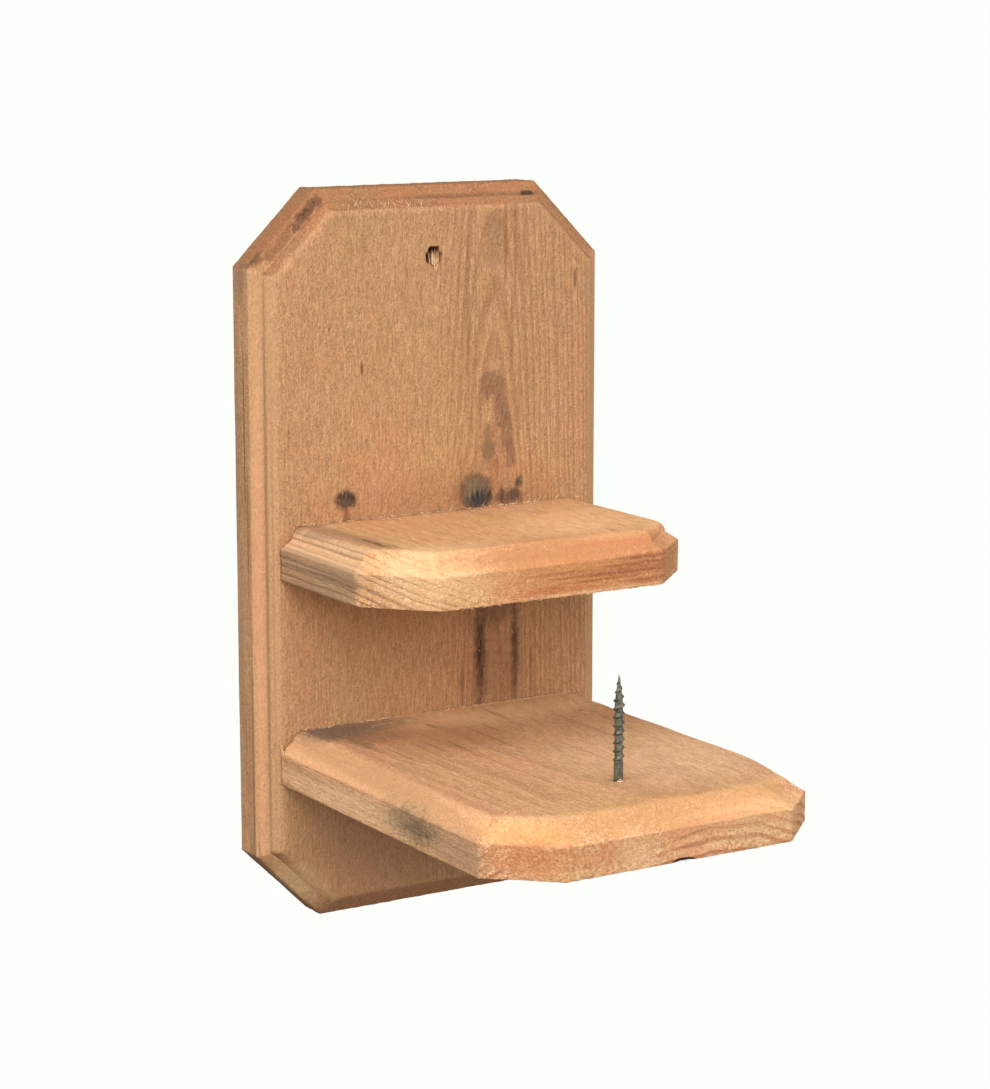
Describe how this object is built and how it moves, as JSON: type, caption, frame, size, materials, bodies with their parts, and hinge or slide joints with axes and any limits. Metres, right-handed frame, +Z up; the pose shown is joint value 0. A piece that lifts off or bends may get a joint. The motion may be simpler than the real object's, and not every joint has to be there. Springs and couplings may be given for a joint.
{
  "type": "squirrel feeder",
  "caption": "Small wooden feeder that hangs by a hole: back board, seat shelf, and a deeper platform with an upright screw that spikes a corn cob.",
  "frame": {"origin": "on the axis of the hanging hole, in the plane of the back face", "axes": "+Z up when it hangs, +Y out of the back face towards the wall or tree, -Y towards the person facing it, +X to their right"},
  "size_m": [0.14, 0.167, 0.255],
  "materials": {
    "back_board_wood": "bare rough-sawn softwood, grain running up the board",
    "upper_shelf_wood": "bare rough-sawn softwood, grain running from back to front, end grain on the front edge",
    "lower_platform_wood": "bare rough-sawn softwood, grain running from back to front, end grain on the front edge",
    "coated_steel": "dull grey-green outdoor coating"
  },
  "bodies": {
    "root": {"back_board": "back_board_wood", "upper_shelf": "upper_shelf_wood", "lower_platform": "lower_platform_wood", "upper_shelf_screw_left": "coated_steel", "upper_shelf_screw_right": "coated_steel", "platform_screw_left": "coated_steel", "platform_screw_right": "coated_steel", "cob_screw": "coated_steel"}
  },
  "joints": []
}
